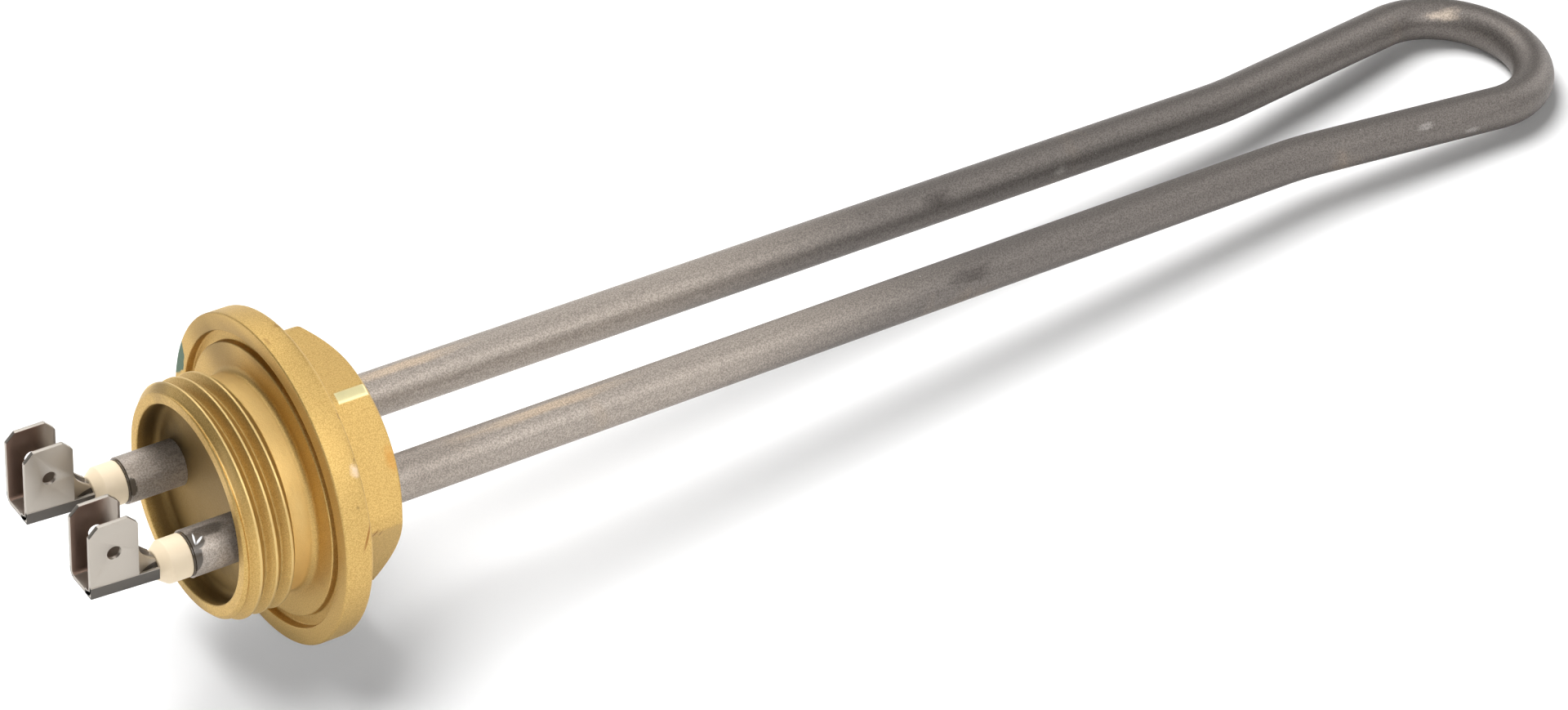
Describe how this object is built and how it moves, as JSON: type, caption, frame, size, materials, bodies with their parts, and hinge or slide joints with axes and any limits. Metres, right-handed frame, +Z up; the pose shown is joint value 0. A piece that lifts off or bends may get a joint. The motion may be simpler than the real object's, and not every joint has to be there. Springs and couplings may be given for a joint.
{
  "type": "dishwasher heating element",
  "caption": "Tubular hairpin immersion heater with a teardrop nose, brazed into a threaded brass plug with flange and hexagon; folded push-on tabs on ceramic bushes.",
  "frame": {"origin": "on the plug's axis, in the plane of the flange's sealing face", "axes": "+X along the plug's axis towards the loop; the hairpin lies in the XY plane; +Z up, the side to which the push-on tabs stand"},
  "size_m": [0.335, 0.0601, 0.06],
  "materials": {
    "blasted_brass": "bead blasted, matte",
    "sheath_steel": "drawn tube, blasted grey with a tan heat tint",
    "bush_ceramic": "unglazed cream steatite",
    "seal_resin": "clear brown potting resin",
    "nickel_plate": "bright nickel plate on folded sheet",
    "pin_steel": "plain drawn rod",
    "magnesia": "compacted white powder",
    "resistance_alloy": "bright wire",
    "braze": "smooth solidified fillet"
  },
  "bodies": {
    "root": {"plug_body": "blasted_brass", "sheath_tube": "sheath_steel", "magnesia_core": "magnesia", "resistance_coil": "resistance_alloy", "braze_ring_far": "braze", "cold_pin_far": "pin_steel", "end_seal_far": "seal_resin", "ceramic_bush_far": "bush_ceramic", "tab_terminal_far": "nickel_plate", "braze_ring_near": "braze", "cold_pin_near": "pin_steel", "end_seal_near": "seal_resin", "ceramic_bush_near": "bush_ceramic", "tab_terminal_near": "nickel_plate"}
  },
  "joints": []
}
